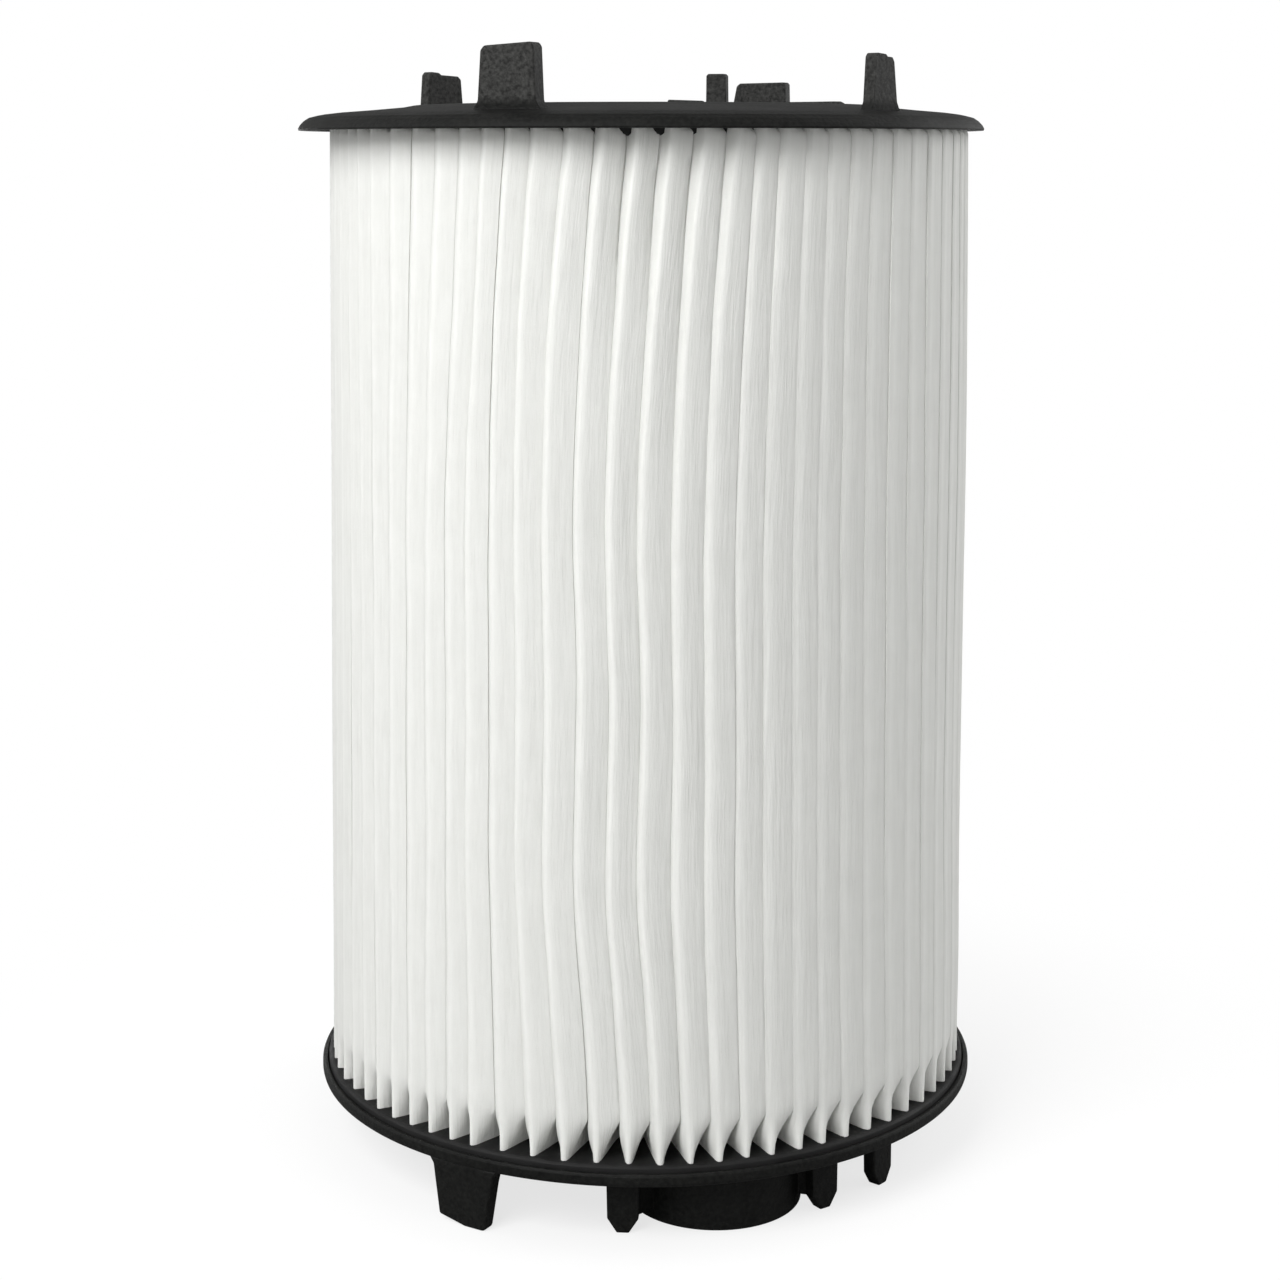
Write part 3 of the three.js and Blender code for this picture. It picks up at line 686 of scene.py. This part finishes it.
def build_media():
    nominal = np.array([((2 + 5 * i + 180) % 360) - 180 for i in range(PLEATS)], float)   # azimuth, degrees
    order = np.argsort(nominal)
    nom = nominal[order]
    b = nom + periodic_noise(PLEATS, 4, 0.9) + rng.uniform(-0.25, 0.25, PLEATS)
    top = periodic_noise(PLEATS, 6, 2.2)
    mid = -1.2 + periodic_noise(PLEATS, 7, 2.2)
    # the side the pleats are best seen from: their set at the bottom, drift at mid height and turn at the top
    fx = np.array([-53, -43, -33, -28, -23, -18, -13, -8, -3, 2, 7, 12, 17, 22, 27, 32, 37, 42, 52, 62.0])
    fb = np.array([0, -0.6, -1.3, -2.0, -1.3, -0.8, -0.4, 0, .3, .4, .4, .2, -.1, -.7, -.6, -1.0, -1.2, -1.0, -.5, 0])
    ft = np.array([.6, 2.2, 3.4, 3.4, 1.6, .9, 1.6, 1.3, 1.7, 2.2, 2.5, 3.1, 2.8, 2.6, 2.2, 1.8, 1.5, 1.2, .8, .4])
    fm = np.array([.4, .2, -.1, -.6, -1.7, -2.7, -3.1, -2.9, -3.0, -2.8, -2.1, -1.5, -1.1, -.6, -.4, -.5, -.7, -.6, -.3, 0])
    w = np.clip(np.minimum((nom + 60) / 14, (70 - nom) / 16), 0, 1)
    w = w * w * (3 - 2 * w)
    b = (1 - w) * b + w * (nom + np.interp(nom, fx, fb))
    top = (1 - w) * top + w * np.interp(nom, fx, ft)
    mid = (1 - w) * mid + w * np.interp(nom, fx, fm)

    z0, z1 = Z_BPOT - 1.6, Z_SEAT - 4.0
    zc = lambda z: z - Z_FL
    key_z = np.array([0, 10, 37, 107, 161, 268, 363, 430, 484, 538, 572, 600.0])
    key_f = np.array([0, 0, .02, .5, 1.0, .70, 1.0, .90, .66, .31, .02, 0])
    alt_f = np.array([0, 0, .05, .35, .62, 1.0, .86, .70, .50, .26, .02, 0])

    def curve(keys, z):
        # smooth the key table with a short window so that the folds bend without kinks
        s = np.zeros_like(z)
        for o, k in ((-26, .12), (-13, .24), (0, .28), (13, .24), (26, .12)):
            s += k * np.interp(z + o, key_z, keys)
        ends = np.clip((z - 12) / 34, 0, 1) * np.clip((574 - z) / 26, 0, 1)
        return s * np.minimum(1, ends)

    mixw = np.clip(w, 0, 1)
    shift = periodic_noise(PLEATS, 5, 34) * (1 - 0.75 * mixw)
    jig = rng.uniform(-1, 1, (PLEATS, 6))
    tip_r = R_TIP - 0.9 + rng.uniform(-0.8, 0.4, PLEATS) * (0.35 + 0.65 * np.exp(-(nom / 30) ** 2))
    tip_w = 2.9 + rng.uniform(-0.35, 0.45, PLEATS)
    wall_ph = rng.uniform(0, 2 * math.pi, (PLEATS, 2, 4))
    wall_am = rng.uniform(0.3, 1.0, (PLEATS, 2, 4))
    # depth of the step between two neighbouring folds, as a share of the usual step
    front = np.exp(-((nom + 2) / 25) ** 2)
    step_k = np.interp(nom, [-180, -120, -80, -55, -40, -20, -8, 1, 8, 14, 24, 36, 60, 90, 130, 180],
                       [.30, .32, .28, .24, .27, .60, 0.90, 0.92, .52, .24, .14, .11, .10, .13, .25, .30])
    step_k = step_k * (1 + 0.22 * periodic_noise(PLEATS, 3, 1.0))
    step_ph = rng.uniform(0, 2 * math.pi, (PLEATS, 2))
    # the folds lie a little further out on the plus side, most of all under the top cap
    swell = np.exp(-(np.abs(np.abs(nom) - 82) / 34) ** 2.4) * (nom > 0)

    root = (nom + np.roll(nom, -1)) / 2
    root[-1] = nom[-1] + 2.5
    root = root + rng.uniform(-0.12, 0.12, PLEATS)          # valley on the plus side of pleat k
    root_l = np.roll(root, 1)
    root_l[0] -= 360

    T = 0.75
    GAP_HALF = 0.05
    # stations up the left wall, and down the right one; the last ones lie on the visible outside
    LEFT, RIGHT = [0.0, 0.24, 0.50, 0.72, 0.84, 0.92, 0.965], [0.95, 0.90, 0.82, 0.70, 0.48, 0.24]
    step01 = lambda x: x * x * (3 - 2 * x)
    ramp01 = lambda x: step01(float(np.clip(x, 0, 1)))
    deg = 180 / math.pi

    def section(z, inner):
        """All the points round the pack at height z: 16 for each pleat."""
        c = zc(z)
        q = c + shift * np.clip((c - 20) / 120, 0, 1) * np.clip((570 - c) / 120, 0, 1)
        f = mixw * curve(key_f, q) + (1 - mixw) * curve(alt_f, q)
        ftop = np.clip((c - 340) / 232, 0, 1) ** 1.25
        # 0 where the ends are set in the compound, 1 where the folds lie loosely over each other
        span = float(np.clip((c - 11.0) / 20.5, 0, 1)) ** 1.1 * ramp01((584.5 - c) / 12)
        wob = (0.16 * jig[:, 0] * math.sin(c / 31 + 2) + 0.10 * jig[:, 1] * math.sin(c / 19 + 5) +
               0.06 * jig[:, 2] * math.sin(c / 11.5 + 1)) * span
        tip = b + top * ftop + mid * f + wob                # azimuth of each crest
        gap = np.roll(tip, -1) - tip
        gap[-1] += 360
        gap_l = np.roll(gap, 1)
        edge = tip + gap * (0.5 + 0.25 * span)              # where this fold meets the next one, at the outside
        edge_l = np.roll(edge, 1)
        edge_l[0] -= 360
        out = swell * (0.9 + 3.6 * ramp01((c - 120) / 330)) * ramp01((c - 14) / 60) * ramp01((583 - c) / 10)
        rt = tip_r - np.minimum(1.8, np.abs(tip - nom) ** 2 * 0.07) - 0.16 * span * jig[:, 3] * math.sin(c / 47) + out
        bead = tip_w * (0.66 + 0.34 * span) + 0.2 * jig[:, 4] * span * math.sin(c / 27)
        dk = step_k * (1 + 0.16 * np.sin(c / 53 + step_ph[:, 0]) + 0.08 * np.sin(c / 21 + step_ph[:, 1]))
        dk = dk * (1 + 0.85 * ramp01((c - 400) / 165))
        dk_l = np.roll(dk, 1)
        t = T if inner else 0.0
        pts = np.empty((PLEATS, 16, 3))
        dep = np.empty((PLEATS, 16))
        half0 = (root - root_l) / 2 / deg * R_ROOT - 0.30
        mid0 = (root + root_l) / 2

        def vee(side, rho):
            r = R_ROOT + (rt - bead * 0.7 - R_ROOT) * rho
            az = mid0 + (tip - mid0) * rho ** 1.12
            return r, az + side * (half0 + (bead - half0) * rho - t) / r * deg

        def meet(side, r):
            """The face along which two folds lie against each other."""
            rho = np.clip((r - R_ROOT) / (rt - R_ROOT), 0, 1)
            e, r_ = (edge, root) if side > 0 else (edge_l, root_l)
            return r_ + (e - r_) * rho ** 1.25 - side * (GAP_HALF + t) / r * deg

        def fold(depth, across):
            """A place on the loose fold: mm below the crest, and share of the way to the neighbour's crest."""
            r = rt - depth
            wide = gap if across > 0 else gap_l
            return r, tip + across * wide * rt / r

        wl = [sum(wall_am[:, 0, m] * np.sin(c / lam * 2.86 + wall_ph[:, 0, m] + sgn) * am * (0.4 + 0.6 * front) for m, (lam, am) in
                  enumerate(((74, .20), (41, .16), (23, .10), (13, .06)))) for sgn in (0.0, 1.9, 3.7)]
        rows = []
        left = [None, None, None, None, 3.3 * dk_l + 0.12, 1.75 * dk_l + 0.10, 0.65 * dk_l]
        across_l = [0, 0, 0, 0, 0, -0.19, -0.125]
        for i, rho in enumerate(LEFT):
            vr, va = vee(-1, rho)
            if i < 4:
                r = R_ROOT + (rt - 6.5 * dk_l - R_ROOT) * (rho / 0.72)
                a_ = meet(-1, r)
            elif i == 4:
                r = rt - left[4]
                a_ = meet(-1, r)
            else:
                r, a_ = fold(left[i] + t * 0.6, across_l[i])
                a_ = a_ + t * 0.6 / r * deg
            rows.append((vr * (1 - span) + r * span - (t if i == 0 else 0.0), va * (1 - span) + a_ * span))
        for vq, vd, d_, ac in ((-0.66, 0.24, 0.10, -0.060), (-0.05, 0.0, 0.0, 0.006), (0.66, 0.24, 0.30, 0.10)):
            vr, va = rt - bead * vd - t, tip + vq * (bead - t * 0.8) / rt * deg
            r, a_ = fold(d_ * dk + t, ac)
            rows.append((vr * (1 - span) + r * span, va * (1 - span) + a_ * span))
        right = [0.95 * dk + wl[0], 1.75 * dk + wl[1], 2.55 * dk + wl[2], 3.3 * dk + 0.12]
        across_r = [0.25, 0.43, 0.60, 0]
        for i, rho in enumerate(RIGHT):
            vr, va = vee(1, rho)
            if i < 3:
                r, a_ = fold(right[i] + t * 0.8, across_r[i])
                a_ = a_ - t * 0.3 / r * deg
            elif i == 3:
                r = rt - right[3]
                a_ = meet(1, r)
            else:
                r = R_ROOT + (rt - 6.5 * dk - R_ROOT) * (rho / 0.72)
                a_ = meet(1, r)
            rows.append((vr * (1 - span) + r * span, va * (1 - span) + a_ * span))
        for col, (r, az) in enumerate(rows):
            th = np.radians(az - 90)
            pts[:, col, 0] = r * np.cos(th)
            pts[:, col, 1] = r * np.sin(th)
            pts[:, col, 2] = z
            dep[:, col] = (r - R_ROOT) / (R_TIP - R_ROOT)
        return pts.reshape(-1, 3), dep.reshape(-1)

    n_out = 56
    # closer rows at both ends, where the folds open into the compound
    low_rows = [0, 3, 6, 9, 12, 15.5, 19.5, 24, 29, 35]
    high_rows = [29, 22, 17, 13, 10, 7.5, 5, 2.5, 0]
    middle = np.linspace(z0 + 35, z1 - 29, n_out + 1 - len(low_rows) - len(high_rows) + 2)[1:-1]
    zs = np.concatenate([[z0 + v for v in low_rows], middle, [z1 - v for v in high_rows]])
    outer = [section(z, False) for z in zs]
    inner = [section(z, True) for z in zs[::2]]
    cols = PLEATS * 16
    verts = np.concatenate([p for p, _ in outer] + [p for p, _ in inner]) * MM
    depth = np.concatenate([d for _, d in outer] + [d for _, d in inner])
    faces = []
    idx = np.arange(cols)
    nxt = (idx + 1) % cols
    for L in range(n_out):
        a, c_ = L * cols, (L + 1) * cols
        faces.append(np.stack([a + idx, a + nxt, c_ + nxt, c_ + idx], 1))
    base = (n_out + 1) * cols
    for L in range(n_out // 2):
        a, c_ = base + L * cols, base + (L + 1) * cols
        faces.append(np.stack([a + nxt, a + idx, c_ + idx, c_ + nxt], 1))
    faces.append(np.stack([idx, base + idx, base + nxt, nxt], 1))
    lastb = base + (n_out // 2) * cols
    lasta = n_out * cols
    faces.append(np.stack([lasta + nxt, lastb + nxt, lastb + idx, lasta + idx], 1))
    faces = np.concatenate(faces)
    me = bpy.data.meshes.new("pleats")
    me.vertices.add(len(verts))
    me.vertices.foreach_set("co", verts.ravel())
    me.loops.add(faces.size)
    me.loops.foreach_set("vertex_index", faces.ravel().astype(np.int32))
    me.polygons.add(len(faces))
    me.polygons.foreach_set("loop_start", np.arange(0, faces.size, 4, dtype=np.int32))
    me.update(calc_edges=True)
    me.validate()
    # coordinates along the sheet (arc length, height) for the fibre pattern
    step = np.linalg.norm(np.diff(np.vstack([outer[28][0], outer[28][0][:1]]), axis=0), axis=1)
    arc = np.concatenate([[0], np.cumsum(step)[:-1]])
    n_rows = (n_out + 1) + (n_out // 2 + 1)
    sheet = np.zeros((len(verts), 3))
    sheet[:, 0] = np.tile(arc, n_rows) * MM
    sheet[:, 1] = verts[:, 2]
    sheet[base:, 2] = 0.5
    att = me.attributes.new("sheet", "FLOAT_VECTOR", "POINT")
    att.data.foreach_set("vector", sheet.ravel())
    # radial depth of each point, which the material also uses to paint shade towards the pleat roots
    att = me.attributes.new("depth", "FLOAT", "POINT")
    att.data.foreach_set("value", depth)
    # where the painted crest highlight lies on each fold, by place across the fold
    crest = np.tile([0, 0, 0, 0, 0, 0, 0.35, 0.95, 1.0, 0.45, 0.05, 0, 0, 0, 0, 0], len(verts) // 16)
    att = me.attributes.new("crest", "FLOAT", "POINT")
    att.data.foreach_set("value", crest)
    obj = link(bpy.data.objects.new("pleats", me))
    return finish_piece(obj, MEDIA, "media_fabric", "pleated_media", angle=54)


# ------------------------------------------------------------------ port seal
def build_seal():
    zm = (seal_lo.z + seal_hi.z) * 500
    pts = [(41.6, zm - 2.4), (42.6, zm - 3.4), (46.2, zm - 3.7), (46.2, zm + 3.7), (42.6, zm + 3.4), (41.6, zm + 2.4), (41.9, zm + 1.0), (42.8, zm), (41.9, zm - 1.0)]
    ring = lathe("port_seal_ring", fillet(pts, [0.5, 0.6, 0.5, 0.5, 0.6, 0.5, 0.3, 0.5, 0.3], 3, True), 160, True)
    move(ring, *PORT_C)
    return finish_piece(ring, RUBBER, "seal_rubber", "outlet_port_seal", angle=40)


build_bottom_cap()
build_top_cap()
build_potting()
build_media()
build_seal()
for name, obj in frame["nodes"].items():
    if name.startswith("core_section"):
        obj.data.materials.clear()
        obj.data.materials.append(CORE)
    elif name == "media_seam_strip":
        obj.data.materials.clear()
        obj.data.materials.append(STRIP)

# ---------------------------------------------------------------------- stage
floor = mesh_object("floor", *(lambda n: (
    [(0, 0, 0)] + [(30 * math.cos(2 * math.pi * k / n), 30 * math.sin(2 * math.pi * k / n), 0) for k in range(n)],
    [(0, 1 + k, 1 + (k + 1) % n) for k in range(n)]))(96))
mat, nt, bsdf, out = new_material("pale_floor")
co = node(nt, "ShaderNodeTexCoord").outputs["Object"]
fn = noise_tex(nt, co, 6, 3)
fc = ramp(nt, fn.outputs[0], [(0.3, (0.86, 0.86, 0.86)), (0.7, (0.88, 0.88, 0.88))])
nt.links.new(fc.outputs[0], bsdf.inputs["Base Color"])
bsdf.inputs["Roughness"].default_value = 0.9
bsdf.inputs["Specular IOR Level"].default_value = 0.1
glow = node(nt, "ShaderNodeEmission")
glow.inputs["Color"].default_value = (1, 1, 1, 1)
glow.inputs["Strength"].default_value = 1.0
ln = node(nt, "ShaderNodeVectorMath", operation="LENGTH")
nt.links.new(co, ln.inputs[0])
far = node(nt, "ShaderNodeMapRange")
far.inputs["From Min"].default_value = 0.20
far.inputs["From Max"].default_value = 0.52
far.inputs["To Min"].default_value = 0.74
far.inputs["To Max"].default_value = 1.0
far.interpolation_type = "SMOOTHSTEP"
nt.links.new(ln.outputs["Value"], far.inputs["Value"])
mx = node(nt, "ShaderNodeMixShader")
nt.links.new(far.outputs[0], mx.inputs[0])
nt.links.new(bsdf.outputs[0], mx.inputs[1])
nt.links.new(glow.outputs[0], mx.inputs[2])
quiet = node(nt, "ShaderNodeBsdfDiffuse")
quiet.inputs["Color"].default_value = (0.35, 0.35, 0.35, 1)
seen = node(nt, "ShaderNodeLightPath")
pick = node(nt, "ShaderNodeMixShader")
nt.links.new(seen.outputs["Is Camera Ray"], pick.inputs[0])
nt.links.new(quiet.outputs[0], pick.inputs[1])
nt.links.new(mx.outputs[0], pick.inputs[2])
nt.links.new(pick.outputs[0], out.inputs["Surface"])
floor.data.materials.append(mat)

scene = bpy.context.scene
world = bpy.data.worlds.new("studio")
world.use_nodes = True
wn = world.node_tree
wn.nodes.clear()
wo = wn.nodes.new("ShaderNodeOutputWorld")
bg = wn.nodes.new("ShaderNodeBackground")
bg.inputs[0].default_value = (1, 1, 1, 1)
bg.inputs[1].default_value = 0.45
bg2 = wn.nodes.new("ShaderNodeBackground")
bg2.inputs[0].default_value = (1, 1, 1, 1)
bg2.inputs[1].default_value = 1.0
lp = wn.nodes.new("ShaderNodeLightPath")
wm = wn.nodes.new("ShaderNodeMixShader")
wn.links.new(lp.outputs["Is Camera Ray"], wm.inputs[0])
wn.links.new(bg.outputs[0], wm.inputs[1])
wn.links.new(bg2.outputs[0], wm.inputs[2])
wn.links.new(wm.outputs[0], wo.inputs["Surface"])
scene.world = world
scene.view_settings.view_transform = "Standard"


def area(name, loc, target, size, energy, size_y=None):
    data = bpy.data.lights.new(name, "AREA")
    data.energy = energy
    data.shape = "RECTANGLE" if size_y else "SQUARE"
    data.size = size
    if size_y:
        data.size_y = size_y
    obj = link(bpy.data.objects.new(name, data))
    obj.location = loc
    d = Vector(target) - Vector(loc)
    obj.rotation_euler = d.to_track_quat("-Z", "Y").to_euler()
    return obj


area("key", (-1.18, -1.70, 1.95), (0, 0, 0.33), 1.5, 66)
area("front", (-0.1, -2.9, 0.72), (0, 0, 0.33), 1.5, 12.5)
area("left", (-2.25, 0.4, 0.8), (0, 0, 0.33), 2.4, 19)
area("right", (2.1, 0.70, 0.8), (0, 0, 0.33), 2.6, 48)
# kept lower than the top cap, so that it does not glance off its upper face
back = area("back", (-0.5, 2.7, 0.34), (0, 0, 0.33), 2.6, 18, 0.5)
back.visible_camera = False

# --------------------------------------------------------------------- camera
cam_data = bpy.data.cameras.new("camera")
cam = link(bpy.data.objects.new("camera", cam_data))
CAM = (0.0, -1.482, 0.563 + Z_FL * MM)
cam.location = CAM
cam.rotation_euler = (rad(88), 0, 0)
cam_data.sensor_width = 36
cam_data.lens = 2396 / 1280 * 36
cam_data.clip_start, cam_data.clip_end = 0.05, 200
scene.camera = cam
# the camera's front is raised, as on a view camera, and only at this stand: elsewhere the lens is central
stand = link(bpy.data.objects.new("camera_stand", None))
stand.location = CAM
for prop, value in (("shift_x", -0.0042), ("shift_y", -0.3166)):
    curve = cam_data.driver_add(prop)
    curve.driver.type = "SUM"
    var = curve.driver.variables.new()
    var.type = "LOC_DIFF"
    var.targets[0].id = cam
    var.targets[1].id = stand
    for mod in list(curve.modifiers):
        curve.modifiers.remove(mod)
    curve.keyframe_points.add(3)
    for key, co in zip(curve.keyframe_points, ((-1.0, value), (0.04, value), (0.08, 0.0))):
        key.co = co
        key.interpolation = "LINEAR"
    curve.extrapolation = "CONSTANT"
    curve.update()

bpy.context.view_layer.update()
